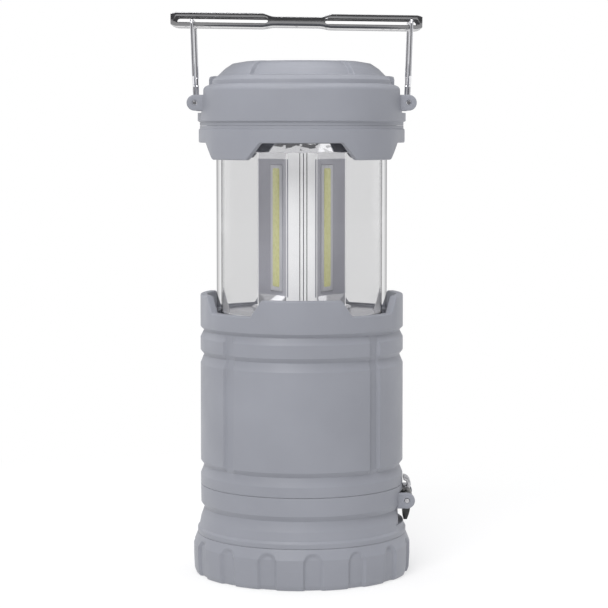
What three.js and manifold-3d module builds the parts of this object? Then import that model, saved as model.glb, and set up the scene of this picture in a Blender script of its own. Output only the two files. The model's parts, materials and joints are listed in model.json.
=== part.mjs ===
// Collapsible camping lantern: a clear lens with three LED strips slides up out of a barrel,
// a cap carries a folding handle, and a screw-on cover at the bottom holds three AA cells.
// Frame: millimetres, +Z up, -Y is the front, origin at the centre of the flat bottom face.
import * as THREE from 'three';
import { mergeVertices } from 'three/addons/utils/BufferGeometryUtils.js';
import { ConvexGeometry } from 'three/addons/geometries/ConvexGeometry.js';
import Module from 'manifold-3d';

const wasm = await Module();
wasm.setup();

// ---- driving dimensions ----
const GAP = 0.3;
const ROUND = 40;
const INNER_ROUND = 24;
const SMALL_ROUND = 8;

// heights of the outer shells
const COVER_TOP = 16.4;
const HOUSING_LOW = COVER_TOP + GAP;
const SEAM_LOW = 36.4;
const BARREL_LOW = SEAM_LOW + GAP;
const CROWN_FLOOR = 108;
const CROWN_TOP = 114.6;
const TAB_LOW = 169.7;
const NOTCH_TOP = 176.4;
const SKIRT_TOP = 183.3;
const DOME_LOW = SKIRT_TOP + GAP;
const DOME_TOP = 209.4;

// radii of the outer shells
const COVER_R = 44.6;
const HOUSING_R = 41.6;
const SKIRT_R = 42.1;
const DOME_R = 42.5;
const BORE_R = 38.6;
const COLLAR_R = 36.8;
const NECK_R = 39.9;
const GROOVE_DEPTH = 1.3;
const COVER_FLUTES = 15;
const FIRST_FLUTE = -84.1;

// sliding lens, its foot and the ring that stops it
const TUBE_R = 34.9;
const TUBE_WALL = 1.9;
const TUBE_LOW = 100.8;
const TUBE_TOP = 181.5;
const FOOT_R = 36.3;
const FOOT_LOW = 97.5;
const FOOT_FLANGE_TOP = 100.3;
const FOOT_TOP = 107.3;
const STOP_LOW = 101.3;
const STOP_TOP = 107.6;

// LED post: three bays at these angles, ribs between them
const BAY_ANGLES = [-30, 90, 210];
const RIB_ANGLES = [-90, 30, 150];

// the cap's four tabs and the crown's four gaps face these ways
const TAB_ANGLES = [45, 135, 225, 315];
const BASE_SCREW_ANGLES = [90, 210, 330];
const HOUSING_SCREW_RING = 33.4;
const CAGE_SCREW_RING = 24.5;
const CAP_SCREW_RING = 37.3;
const POST_LOW = FOOT_TOP + GAP;
const POST_TOP = 176;
const BAY_RIM = 13.9;
const BAY_FLOOR = 12.3;
const RIB_FLAT = 17.9;
const CAVITY_SIDE = 11.6;
const CAVITY_CORNER = 16.7;
const BOARD_BACK = 11.75;
const BOARD_FACE = 12.6;

// cells and the cage that holds them
const CELL_R = 7.0;
const CELL_LOW = 10;
const CELL_LENGTH = 50.3;
const CELL_RING = 8.4;
const BUTTON_R = 2.75;
const BUTTON_HEIGHT = 1.6;
const CAGE_SIDE = 11.3;
const CAGE_CORNER = 16.4;
const CAGE_LOW = 10.8;
const CAGE_CAP = 61;
const CAGE_TOP = 63.5;
const FLOOR_LOW = 27.1;
const FLOOR_TOP = 30.1;

// handle
const PIVOT_X = 43.1;
const PIVOT_Z = 192.5;
const BAR_Z = 225.5;
const BAR_SHIFT = -2.4;
const BAR_HALF = 51.6;
const BAR_DEPTH = 24;
const BAR_WALL = 0.9;
const SLOT_INNER_X = 12.8;
const SLOT_OUTER_X = 48.9;
const SLOT_HALF = 1.2;
const LINK_LEAN = 1.1;
const WIRE_R = 0.7;
const LEG_Y = 14.2;
const FOOT_LEG_Y = 12;
const CAP_EAR_Y = [13.1, 15.1];

// hook at the side of the base
const HOOK_X = 43;
const HOOK_Z = 30.6;
const HOOK_EAR_Y = [11.2, 13.3];
const EAR_R = 3.2;

// ---- materials ----
const paint = (color, roughness, metalness = 0, opacity = 1) => new THREE.MeshStandardMaterial({
  color, roughness, metalness, opacity, transparent: opacity < 1,
});
const HOUSING = paint(0x9a9ca6, 0.6);
const BLACK = paint(0x1c1c1e, 0.5);
const RUBBER = paint(0x26262a, 0.85);
const CLEAR = paint(0xeef2f4, 0.05, 0, 0.25);
const MIRROR = paint(0xdfe1e4, 0.08, 1);
const CHROME = paint(0xc6c8cc, 0.15, 1);
const DARK_CHROME = paint(0x74767a, 0.22, 1);
const STEEL = paint(0x9c9ea2, 0.35, 1);
const NICKEL = paint(0xb9b4a6, 0.3, 1);
const BRASS = paint(0xb98f45, 0.35, 1);
const BOARD = paint(0xe6e6ea, 0.5);
const PHOSPHOR = paint(0xd9d96a, 0.6);
const CIRCUIT = paint(0x1f5a38, 0.5);
const CELL_SKIN = paint(0x4a4d55, 0.35, 0.3);
const RED_WIRE = paint(0xa01d1d, 0.5);

// ---- solids: geometry in, closed solid out ----
function signedVolume(positions, index) {
  const [a, b, c] = [new THREE.Vector3(), new THREE.Vector3(), new THREE.Vector3()];
  let sum = 0;
  for (let i = 0; i < index.length; i += 3) {
    a.fromArray(positions, index[i] * 3);
    b.fromArray(positions, index[i + 1] * 3);
    c.fromArray(positions, index[i + 2] * 3);
    sum += a.dot(b.cross(c)) / 6;
  }
  return sum;
}

function solid(geometry) {
  const bare = geometry.clone();
  bare.deleteAttribute('normal');
  bare.deleteAttribute('uv');
  const merged = mergeVertices(bare, 1e-4);
  const vertProperties = new Float32Array(merged.attributes.position.array);
  const kept = [];
  const index = merged.index.array;
  for (let i = 0; i < index.length; i += 3) {
    const [a, b, c] = [index[i], index[i + 1], index[i + 2]];
    if (a !== b && b !== c && a !== c) kept.push(a, b, c);
  }
  const triVerts = new Uint32Array(kept);
  if (signedVolume(vertProperties, triVerts) < 0) {
    for (let i = 0; i < triVerts.length; i += 3) {
      [triVerts[i + 1], triVerts[i + 2]] = [triVerts[i + 2], triVerts[i + 1]];
    }
  }
  return new wasm.Manifold(new wasm.Mesh({ numProp: 3, vertProperties, triVerts }));
}

const join = (...parts) => parts.reduce((whole, part) => whole.add(part));
const cut = (whole, ...tools) => tools.reduce((rest, tool) => rest.subtract(tool), whole);

function mesh(name, shape, material) {
  const { vertProperties, triVerts } = shape.getMesh();
  const geometry = new THREE.BufferGeometry();
  geometry.setAttribute('position', new THREE.BufferAttribute(new Float32Array(vertProperties), 3));
  geometry.setIndex(new THREE.BufferAttribute(new Uint32Array(triVerts), 1));
  geometry.computeVertexNormals();
  const part = new THREE.Mesh(geometry, material);
  part.name = name;
  return part;
}

// a ring or disc from [radius, height] corners; the outline closes on itself or on the axis
function lathe(corners, segments = ROUND) {
  const points = corners.map(([r, z]) => new THREE.Vector2(r, z));
  const [first, last] = [points[0], points[points.length - 1]];
  if (first.x > 0 || last.x > 0) points.push(first.clone());
  return solid(new THREE.LatheGeometry(points, segments).rotateX(Math.PI / 2));
}

const ring = (inner, outer, low, high, segments) => lathe(
  [[inner, low], [outer, low], [outer, high], [inner, high]], segments);
const disc = (radius, low, high, segments) => lathe(
  [[0, low], [radius, low], [radius, high], [0, high]], segments);

function box([x0, x1], [y0, y1], [z0, z1]) {
  const geometry = new THREE.BoxGeometry(x1 - x0, y1 - y0, z1 - z0);
  return solid(geometry.translate((x0 + x1) / 2, (y0 + y1) / 2, (z0 + z1) / 2));
}

const outline = (corners) => new THREE.Shape(corners.map(([u, v]) => new THREE.Vector2(u, v)));
const extrude = (shape, depth, curveSegments = 6) => new THREE.ExtrudeGeometry(
  shape, { depth, bevelEnabled: false, curveSegments });

// a flat shape drawn in X and Y, standing from low to high
const upright = (shape, low, high) => solid(extrude(shape, high - low).translate(0, 0, low));
// a flat shape drawn in X and Z, running from front to back
const across = (shape, front, back) => solid(
  extrude(shape, back - front).rotateX(Math.PI / 2).translate(0, back, 0));

const rad = THREE.MathUtils.degToRad;
const turned = (shape, degrees) => shape.rotate([0, 0, degrees]);

function wire(points, radius, steps, sides = 8) {
  const section = new THREE.Shape();
  for (let i = 0; i < sides; i += 1) {
    const angle = (2 * Math.PI * i) / sides;
    const [u, v] = [radius * Math.cos(angle), radius * Math.sin(angle)];
    if (i === 0) section.moveTo(u, v);
    else section.lineTo(u, v);
  }
  section.closePath();
  const path = new THREE.CatmullRomCurve3(points, false, 'centripetal');
  return solid(new THREE.ExtrudeGeometry(section, { steps, extrudePath: path }));
}

// ---- outline helpers ----

// a moulded groove: a gentle slope in, then a sharp return under the upper lip
function groove(radius, low, high) {
  const height = high - low;
  const steps = [[0, 0], [0.85, 0.4], [1, 0.65], [0, 1]];
  return steps.map(([inward, up]) => [radius - inward * GROOVE_DEPTH, low + up * height]);
}

// a triangle with its corners cut off, its sides facing the bays
function cutTriangle(side, corner) {
  const half = (2 * side - corner) * Math.tan(rad(30));
  const corners = [];
  for (const angle of RIB_ANGLES) {
    for (const sign of [-1, 1]) {
      const a = rad(angle);
      corners.push([
        corner * Math.cos(a) - sign * half * Math.sin(a),
        corner * Math.sin(a) + sign * half * Math.cos(a),
      ]);
    }
  }
  return outline(corners);
}

// an ear: a flat plate with a round end about a cross hole
function ear(pivotX, pivotZ, rootX, [near, far], holeR) {
  const shape = new THREE.Shape();
  shape.moveTo(rootX, pivotZ - EAR_R);
  shape.lineTo(pivotX, pivotZ - EAR_R);
  shape.absarc(pivotX, pivotZ, EAR_R, -Math.PI / 2, Math.PI / 2, false);
  shape.lineTo(rootX, pivotZ + EAR_R);
  const hole = new THREE.Path();
  hole.absarc(pivotX, pivotZ, holeR, 0, 2 * Math.PI, true);
  shape.holes.push(hole);
  return across(shape, near, far);
}

const place = (angle, radius, z = 0) => new THREE.Vector3(
  radius * Math.cos(rad(angle)), radius * Math.sin(rad(angle)), z);

function put(part, angle, radius, z = 0) {
  part.position.copy(place(angle, radius, z));
  part.rotation.z = rad(angle);
  return part;
}

// ---- base: barrel, lower housing and what they hold ----
function barrel() {
  const shell = lathe([
    [HOUSING_R, BARREL_LOW],
    ...groove(HOUSING_R, 40.7, 46.4),
    ...groove(HOUSING_R, 86.3, 91.8),
    ...groove(HOUSING_R, 97, 101.3),
    [HOUSING_R, CROWN_TOP - 0.8], [HOUSING_R - 0.6, CROWN_TOP], [BORE_R, CROWN_TOP],
    [BORE_R, BARREL_LOW + 1], [COLLAR_R, BARREL_LOW + 0.2], [COLLAR_R, FLOOR_TOP + GAP],
    [BORE_R - GAP, FLOOR_TOP + GAP], [BORE_R - GAP, BARREL_LOW],
  ]);
  const bosses = BASE_SCREW_ANGLES.map((angle) => {
    const column = ring(1, 3.1, FLOOR_TOP + GAP, 34.2, SMALL_ROUND);
    const web = box([2.4, 4.2], [-2, 2], [FLOOR_TOP + GAP, 34.2]);
    return turned(join(column, web).translate([HOUSING_SCREW_RING, 0, 0]), angle);
  });
  const gap = outline([[-9.6, CROWN_FLOOR], [9.6, CROWN_FLOOR], [16, CROWN_TOP + 1], [-16, CROWN_TOP + 1]]);
  const gapTool = turned(across(gap, 30, 50), -90);
  const flute = outline([[40.6, -1.6], [42.6, -3.4], [42.6, 3.4], [40.6, 1.6]]);
  const fluteTool = upright(flute, 44.2, 98.8);
  const notches = [0, 180].map((angle) => turned(
    box([COLLAR_R - 1, BORE_R - 0.15], [-3, 3], [FLOOR_TOP, BARREL_LOW + 1.4]), angle));
  const tools = TAB_ANGLES.flatMap((angle) => [turned(gapTool, angle), turned(fluteTool, angle)]);
  return mesh('barrel', cut(join(shell, ...bosses), ...tools, ...notches), HOUSING);
}

function lowerHousing() {
  const shell = lathe([
    [37.2, 5.4], [NECK_R, 5.4], [NECK_R, HOUSING_LOW],
    [42.9, HOUSING_LOW], [42.9, 18.5], [42.3, 19.2], [41.5, 22.8],
    ...groove(HOUSING_R, 22.8, 29.1).slice(1),
    [HOUSING_R, SEAM_LOW], [BORE_R, SEAM_LOW], [BORE_R, FLOOR_TOP],
    [20, FLOOR_TOP], [20, FLOOR_LOW], [37.2, FLOOR_LOW],
  ]);
  const ears = [-1, 1].map((side) => ear(HOOK_X, HOOK_Z, 37.8,
    side < 0 ? [-HOOK_EAR_Y[1], -HOOK_EAR_Y[0]] : HOOK_EAR_Y, 1.05));
  const recess = box([HOOK_X - 3.5, HOOK_X + 4], [-HOOK_EAR_Y[0], HOOK_EAR_Y[0]],
    [HOOK_Z - 3.6, HOOK_Z + 3.4]);
  const screwHoles = BASE_SCREW_ANGLES.flatMap((angle) => [
    turned(disc(1.3, FLOOR_LOW - 1, FLOOR_TOP + 1, SMALL_ROUND).translate([HOUSING_SCREW_RING, 0, 0]), angle),
    turned(disc(0.8, FLOOR_LOW - 1, FLOOR_TOP + 1, SMALL_ROUND).translate([CAGE_SCREW_RING, 0, 0]), angle),
  ]);
  const strapSlot = box([-37.5, -35.9], [-2.4, 2.4], [FLOOR_LOW - 1, FLOOR_TOP + 1]);
  return mesh('lower_housing', cut(join(shell, ...ears), recess, ...screwHoles, strapSlot), HOUSING);
}

function batteryCage() {
  const shaft = upright(cutTriangle(CAGE_SIDE, CAGE_CORNER), CAGE_LOW, CAGE_TOP);
  const flange = disc(29.3, FLOOR_TOP + GAP, 32.4, INNER_ROUND);
  const bore = disc(CELL_R + 0.2, CAGE_LOW - 1, CAGE_CAP, 16);
  const bores = RIB_ANGLES.map((angle) => bore.translate(place(angle, CELL_RING).toArray()));
  const railSlot = turned(box([10.3, 12], [-1.8, 1.8], [32.4, CAGE_CAP]), BAY_ANGLES[0]);
  const screwHoles = BASE_SCREW_ANGLES.map((angle) => turned(
    disc(1.3, FLOOR_TOP, 33, SMALL_ROUND).translate([CAGE_SCREW_RING, 0, 0]), angle));
  return mesh('battery_cage', cut(join(shaft, flange), ...bores, railSlot, ...screwHoles), BLACK);
}

function cells() {
  const top = CELL_LENGTH;
  const shape = lathe([
    [0, 0], [CELL_R, 0], [CELL_R, top - BUTTON_HEIGHT], [BUTTON_R, top - BUTTON_HEIGHT],
    [BUTTON_R, top], [0, top],
  ], 16);
  return RIB_ANGLES.map((angle, i) => put(
    mesh(`cell_${i + 1}`, shape, CELL_SKIN), angle, CELL_RING, CELL_LOW));
}

function topContacts() {
  const shape = disc(4.5, 0, 0.4, SMALL_ROUND);
  return RIB_ANGLES.map((angle, i) => put(
    mesh(`top_contact_${i + 1}`, shape, NICKEL), angle, CELL_RING, CELL_LOW + CELL_LENGTH + 0.15));
}

// a screw standing with its head at the bottom and its tip up
function screw(headR, headHeight, shankR, length) {
  return lathe([
    [0, 0], [headR * 0.75, 0], [headR, headHeight * 0.5], [headR, headHeight],
    [shankR, headHeight], [shankR, length - 0.8], [0, length],
  ], SMALL_ROUND);
}

function baseScrews() {
  const housing = screw(2.4, 1.6, 0.9, 8.6);
  const cage = screw(2.2, 1.4, 0.7, 5.5).rotate([180, 0, 0]);
  return BASE_SCREW_ANGLES.flatMap((angle, i) => [
    put(mesh(`housing_screw_${i + 1}`, housing, STEEL), angle, HOUSING_SCREW_RING, FLOOR_LOW - 1.7),
    put(mesh(`cage_screw_${i + 1}`, cage, STEEL), angle, CAGE_SCREW_RING, 34.1),
  ]);
}

function stopRing() {
  const shape = lathe([
    [TUBE_R + GAP, STOP_LOW], [BORE_R - GAP, STOP_LOW], [BORE_R - GAP, STOP_TOP],
    [TUBE_R + GAP + 0.8, STOP_TOP], [TUBE_R + GAP, STOP_TOP - 0.8],
  ]);
  return mesh('stop_ring', shape, BLACK);
}

// contact strips climb the barrel wall and end in a pad under the stop ring
function contactStrips() {
  const padLow = 100.75;
  const padTop = 101.05;
  const positive = outline([
    [30.2, 31], [38.1, 31], [38.1, padTop], [35.4, padTop], [35.4, padLow], [37.6, padLow],
    [37.6, 31.5], [30.2, 31.5],
  ]);
  const negative = outline([
    [-36.3, 5.6], [-36.3, 31], [-38.1, 31], [-38.1, padTop], [-35.4, padTop], [-35.4, padLow],
    [-37.6, padLow], [-37.6, 31.5], [-35.9, 31.5], [-35.9, 5.6],
  ]);
  return [
    mesh('contact_strip_positive', across(positive, -2, 2), BRASS),
    mesh('contact_strip_negative', across(negative, -2, 2), BRASS),
  ];
}

function positiveRail() {
  const part = mesh('positive_rail', box([10.6, 11.1], [-1.5, 1.5], [33, 60.2]), NICKEL);
  part.rotation.z = rad(BAY_ANGLES[0]);
  return part;
}

function positiveLead() {
  const start = new THREE.Vector3(29.7, 0, 33.4);
  const end = place(BAY_ANGLES[0], 12.1, 34.6);
  const middle = start.clone().lerp(end, 0.5).add(new THREE.Vector3(1.2, -2.4, 0.6));
  return mesh('positive_lead', wire([start, middle, end], 0.6, 8, 6), RED_WIRE);
}

const neckContact = () => mesh('neck_contact', ring(35.4, 39.6, 4.1, 5.1, INNER_ROUND), BRASS);

function hookPin() {
  const pin = disc(0.95, -13.1, 13.1, SMALL_ROUND).rotate([90, 0, 0]);
  const part = mesh('hook_pin', pin, STEEL);
  part.position.set(HOOK_X, 0, HOOK_Z);
  return part;
}

// curled spring above the hook, which holds it folded
function hookClip() {
  const [centreX, centreZ, outer, inner] = [41.95, 36.1, 3, 2.2];
  const shape = new THREE.Shape();
  shape.moveTo(centreX, 34.3);
  shape.lineTo(44, 34.3);
  shape.absarc(centreX, centreZ, outer, rad(-38), rad(90), false);
  shape.absarc(centreX, centreZ, inner, rad(90), rad(-30), true);
  shape.lineTo(centreX, 35);
  return mesh('hook_clip', across(shape, -4.2, 4.2), CHROME);
}

// ---- battery cover ----
function batteryCover() {
  const shell = lathe([
    [0, 0], [43.2, 0], [44.1, 0.9], [COVER_R, 8], [COVER_R, 12.3], [42.9, COVER_TOP],
    [42.1, COVER_TOP], [42.1, 14.2], [NECK_R + GAP, 14.2], [NECK_R + GAP, 3], [0, 3],
  ]);
  const pitch = 360 / COVER_FLUTES;
  const flute = outline([
    [0, -2], [4.1, -2], [4.1, 10.5], [2.6, 13], [0, 13.9],
    [-2.6, 13], [-4.1, 10.5], [-4.1, -2],
  ]);
  const tool = turned(across(flute, 43.6, 48), -90);
  const tools = Array.from({ length: COVER_FLUTES }, (_, i) => turned(tool, FIRST_FLUTE + i * pitch));
  return mesh('battery_cover', cut(shell, ...tools), HOUSING);
}

const coverContact = () => mesh('cover_contact', disc(38.6, 3.2, 3.7, INNER_ROUND), NICKEL);

function cellSprings() {
  const turns = 2.6;
  const points = [];
  const count = 20;
  for (let i = 0; i <= count; i += 1) {
    const share = i / count;
    const angle = 2 * Math.PI * turns * share;
    const radius = 4.6 - 1.8 * share;
    points.push(new THREE.Vector3(radius * Math.cos(angle), radius * Math.sin(angle), 0.5 + 4.6 * share));
  }
  const shape = wire(points, 0.4, 22, 4);
  return RIB_ANGLES.map((angle, i) => put(
    mesh(`cell_spring_${i + 1}`, shape, NICKEL), angle, CELL_RING, 3.95));
}

function coverSeal() {
  return mesh('cover_seal', ring(40.5, 41.6, 14.6, 15.9, INNER_ROUND), RUBBER);
}

// ---- head: lens, LED post and cap ----
function lensTube() {
  return mesh('lens_tube', ring(TUBE_R - TUBE_WALL, TUBE_R, TUBE_LOW, TUBE_TOP), CLEAR);
}

function lensFoot() {
  const body = lathe([
    [18, FOOT_LOW], [20, FOOT_LOW], [20, FOOT_TOP - 2], [31, FOOT_TOP - 2], [31, FOOT_LOW],
    [FOOT_R, FOOT_LOW], [FOOT_R, FOOT_FLANGE_TOP], [32.7, FOOT_FLANGE_TOP], [32.7, FOOT_TOP], [12, FOOT_TOP],
    [12, FOOT_LOW],
  ]);
  const opening = upright(cutTriangle(CAVITY_SIDE, CAVITY_CORNER), FOOT_LOW - 1, FOOT_TOP + 1);
  const clipShape = outline([[29.4, 107], [32.5, 107], [32.5, 116.5], [31.9, 116.5], [30.5, 110.5]]);
  const clip = across(clipShape, -2, 2);
  return mesh('lens_foot', cut(join(body, clip, turned(clip, 180)), opening), BLACK);
}

function footContacts() {
  return ['right', 'left'].map((side, i) => {
    const part = mesh(`foot_contact_${side}`, box([33.2, 36.1], [-2, 2], [100.38, 100.6]), BRASS);
    part.rotation.z = i * Math.PI;
    return part;
  });
}

// the guide rib and the flat on each rib of the post, and the flat rims of its bays
function postOutline() {
  const half = (2 * BAY_RIM - RIB_FLAT) * Math.tan(rad(30));
  const ribHalf = 1.4;
  const ribReach = 19.4;
  const corners = [];
  for (const angle of RIB_ANGLES) {
    const a = rad(angle);
    const profile = [
      [RIB_FLAT, -half], [RIB_FLAT, -ribHalf], [ribReach, -ribHalf],
      [ribReach, ribHalf], [RIB_FLAT, ribHalf], [RIB_FLAT, half],
    ];
    for (const [d, s] of profile) {
      corners.push([d * Math.cos(a) - s * Math.sin(a), d * Math.sin(a) + s * Math.cos(a)]);
    }
  }
  return outline(corners);
}

// the tool that sinks one bay: a small floor opening out to a wide mouth
function bayTool() {
  const corners = [];
  for (const [d, s, low, high] of [[BAY_FLOOR, 6.2, 114, 169.4], [14.6, 15.4, 109, 174.4]]) {
    for (const side of [-s, s]) {
      corners.push(new THREE.Vector3(d, side, low), new THREE.Vector3(d, side, high));
    }
  }
  return solid(new ConvexGeometry(corners));
}

function ledPost() {
  const column = upright(postOutline(), POST_LOW, POST_TOP);
  const lowFlange = disc(20.4, POST_LOW, 109.4, INNER_ROUND);
  const topFlange = disc(20.4, 174, POST_TOP, INNER_ROUND);
  const cavity = upright(cutTriangle(CAVITY_SIDE, CAVITY_CORNER), POST_LOW - 1, 171.5);
  const tools = BAY_ANGLES.flatMap((angle) => [
    turned(bayTool(), angle),
    turned(box([10, 14], [-5.7, 5.7], [114.5, 168.7]), angle),
  ]);
  return mesh('led_post', cut(join(column, lowFlange, topFlange), cavity, ...tools), MIRROR);
}

function ledStrips() {
  const board = box([BOARD_BACK, BOARD_FACE], [-5.4, 5.4], [114.9, 168.3]);
  const strip = box([BOARD_FACE + 0.1, BOARD_FACE + 0.5], [-3.3, 3.3], [117.7, 166]);
  return BAY_ANGLES.flatMap((angle, i) => {
    const parts = [
      mesh(`led_board_${i + 1}`, board, BOARD),
      mesh(`led_strip_${i + 1}`, strip, PHOSPHOR),
    ];
    for (const part of parts) part.rotation.z = rad(angle);
    return parts;
  });
}

function topReflector() {
  const shape = lathe([
    [20.8, 174.2], [32.6, 172.4], [32.6, 176.2], [20.8, 176.2],
  ], INNER_ROUND);
  return mesh('top_reflector', shape, MIRROR);
}

function capSkirt() {
  const shell = lathe([
    [39.2, TAB_LOW], [SKIRT_R - 0.5, TAB_LOW], [SKIRT_R, TAB_LOW + 0.6], [SKIRT_R, 181.8],
    [41.6, 182.4], [41.6, SKIRT_TOP], [39.2, SKIRT_TOP], [39.2, 179.6], [TUBE_R + GAP, 179.6],
    [TUBE_R + GAP, 176.9], [39.2, 176.9],
  ]);
  const notch = outline([[-22.4, TAB_LOW - 1], [22.4, TAB_LOW - 1], [16.6, NOTCH_TOP], [-16.6, NOTCH_TOP]]);
  const tool = turned(across(notch, 30, 50), -90);
  const screwHoles = TAB_ANGLES.map((angle) => turned(
    disc(1.15, 176, 181, SMALL_ROUND).translate([CAP_SCREW_RING, 0, 0]), angle));
  const tools = [0, 90, 180, 270].map((angle) => turned(tool, angle));
  return mesh('cap_skirt', cut(shell, ...tools, ...screwHoles), HOUSING);
}

function capSeal() {
  return mesh('cap_seal', ring(39.4, 41.2, SKIRT_TOP + 0.06, DOME_LOW - 0.06, INNER_ROUND), RUBBER);
}

function capDome() {
  const shell = lathe([
    [41.6, DOME_LOW], [41.6, 185], [DOME_R, 185.3], [DOME_R, 196], [42, 198], [38.9, 199.7],
    [37.5, 202.5], [33.4, 203], [31, 205.3], [28.7, 207.5], [24.6, 209.1], [20, DOME_TOP], [0, DOME_TOP],
    [0, 206.9], [22, 206.9], [28.6, 202.6], [35, 199.7], [38.6, 194], [38.6, 188], [36.2, 187],
    [36.2, 180.2], [38.8, 180.2], [38.8, DOME_LOW],
  ]);
  const ears = [-1, 1].flatMap((side) => [-1, 1].map((front) => {
    const [near, far] = CAP_EAR_Y;
    const right = ear(PIVOT_X, PIVOT_Z, 38, front < 0 ? [-far, -near] : [near, far], 0.98);
    return side < 0 ? turned(right, 180) : right;
  }));
  const slope = lathe([
    [31.6, 203.7], [29.8, 205], [27.5, 207], [23.9, 208.4], [21.5, DOME_TOP + 1],
    [38, DOME_TOP + 1], [38, 203.7],
  ]);
  const sector = upright(outline([[0, 0], [-34, -40], [34, -40]]), 203, DOME_TOP + 2);
  const panel = slope.intersect(sector);
  const recess = outline([
    [39.4, PIVOT_Z - 4], [47, PIVOT_Z - 4], [47, 203], [37.4, 203], [37.4, 199.1], [39.4, 196],
  ]);
  const pocket = across(recess, -CAP_EAR_Y[0], CAP_EAR_Y[0]);
  const pockets = [pocket, turned(pocket, 180), panel, turned(panel, 180)];
  const screwHoles = TAB_ANGLES.map((angle) => turned(
    disc(0.9, 179, 185, SMALL_ROUND).translate([CAP_SCREW_RING, 0, 0]), angle));
  return mesh('cap_dome', cut(join(shell, ...ears), ...pockets, ...screwHoles), HOUSING);
}

const driverBoard = () => mesh('driver_board', disc(33, 187.6, 189.2, INNER_ROUND), CIRCUIT);

function capScrews() {
  const shape = screw(1.8, 1.2, 0.75, 7.4);
  return TAB_ANGLES.map((angle, i) => put(
    mesh(`cap_screw_${i + 1}`, shape, STEEL), angle, CAP_SCREW_RING, 175.4));
}

// ---- handle ----
const LINK_RISE = BAR_Z - PIVOT_Z;

// one leg of a link, from its end in the ear up to the cross wire; side is -1 front, 1 back
function legPoints(side) {
  const lean = (z) => (LINK_LEAN * (z - PIVOT_Z)) / LINK_RISE;
  const at = (y, z) => new THREE.Vector3(lean(z), side * y, z - PIVOT_Z);
  return [
    at(14.8, PIVOT_Z), at(12.9, PIVOT_Z), at(12.2, PIVOT_Z + 0.25), at(FOOT_LEG_Y, PIVOT_Z + 1.2),
    at(FOOT_LEG_Y, PIVOT_Z + 6.6), at(FOOT_LEG_Y + 0.3, PIVOT_Z + 7.6), at(LEG_Y - 0.2, PIVOT_Z + 9.8),
    at(LEG_Y, PIVOT_Z + 11), at(LEG_Y, BAR_Z - 8), at(LEG_Y, BAR_Z - 1.6),
  ];
}

function leftLink() {
  const group = new THREE.Group();
  for (const [name, side] of [['front', -1], ['back', 1]]) {
    const points = [...legPoints(side)];
    points.push(new THREE.Vector3(LINK_LEAN, side * (LEG_Y - 0.1), LINK_RISE - 0.7));
    const tip = new THREE.Vector3(LINK_LEAN, side * (LEG_Y - 0.5), LINK_RISE);
    points.push(tip);
    group.add(mesh(`left_link_${name}_leg`, wire(points, WIRE_R, 24, 6), CHROME));
  }
  group.position.set(-PIVOT_X, 0, PIVOT_Z);
  group.rotation.z = Math.PI;
  return group;
}

function leftLinkCross() {
  const half = LEG_Y - 1.2;
  const shape = disc(WIRE_R, -half, half, 8).rotate([90, 0, 0]);
  const part = mesh('left_link_cross', shape, CHROME);
  part.position.set(-PIVOT_X - LINK_LEAN, 0, BAR_Z);
  return part;
}

function rightLink() {
  const front = legPoints(-1);
  const back = legPoints(1).reverse();
  const top = [
    new THREE.Vector3(LINK_LEAN, -LEG_Y + 0.35, LINK_RISE - 0.35),
    new THREE.Vector3(LINK_LEAN, -LEG_Y + 1.6, LINK_RISE),
    new THREE.Vector3(LINK_LEAN, 0, LINK_RISE),
    new THREE.Vector3(LINK_LEAN, LEG_Y - 1.6, LINK_RISE),
    new THREE.Vector3(LINK_LEAN, LEG_Y - 0.35, LINK_RISE - 0.35),
  ];
  const part = mesh('right_link', wire([...front, ...top, ...back], WIRE_R, 56, 6), CHROME);
  part.position.set(PIVOT_X, 0, PIVOT_Z);
  return part;
}

// pressed steel bar: a channel with a slot in each half of both its sides
function handleBar() {
  const [half, waist, wall] = [2.8, 10.4, BAR_WALL];
  const shape = new THREE.Shape();
  const side = [[-BAR_HALF, -2.1], [-BAR_HALF + 0.7, -half], [-waist - 2.6, -half], [-waist, -half + 0.7]];
  const over = [[-waist, half - 1.3], [-waist - 2.6, half], [-BAR_HALF + 0.7, half], [-BAR_HALF, 2.1]];
  const mirrored = (list) => list.map(([x, z]) => [-x, z]).reverse();
  [...side, ...mirrored(side), ...mirrored(over), ...over].forEach(([x, z], i) => {
    if (i === 0) shape.moveTo(x, z);
    else shape.lineTo(x, z);
  });
  for (const sign of [-1, 1]) {
    const hole = new THREE.Path();
    hole.absarc(sign * SLOT_OUTER_X, 0, SLOT_HALF, rad(-90), rad(90), sign < 0);
    hole.absarc(sign * SLOT_INNER_X, 0, SLOT_HALF, rad(90), rad(270), sign < 0);
    hole.closePath();
    shape.holes.push(hole);
  }
  const bar = across(shape, -BAR_DEPTH / 2, BAR_DEPTH / 2);
  const inside = [-BAR_DEPTH / 2 + wall, BAR_DEPTH / 2 - wall];
  const hollow = join(
    box([-BAR_HALF - 1, -waist - 2.6], inside, [-half + wall, half + 1]),
    box([waist + 2.6, BAR_HALF + 1], inside, [-half + wall, half + 1]),
    box([-waist - 3, waist + 3], inside, [-half + 0.7 + wall, half + 1]),
  );
  const part = mesh('handle_bar', cut(bar, hollow), DARK_CHROME);
  part.position.set(BAR_SHIFT, 0, BAR_Z);
  return part;
}

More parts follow.
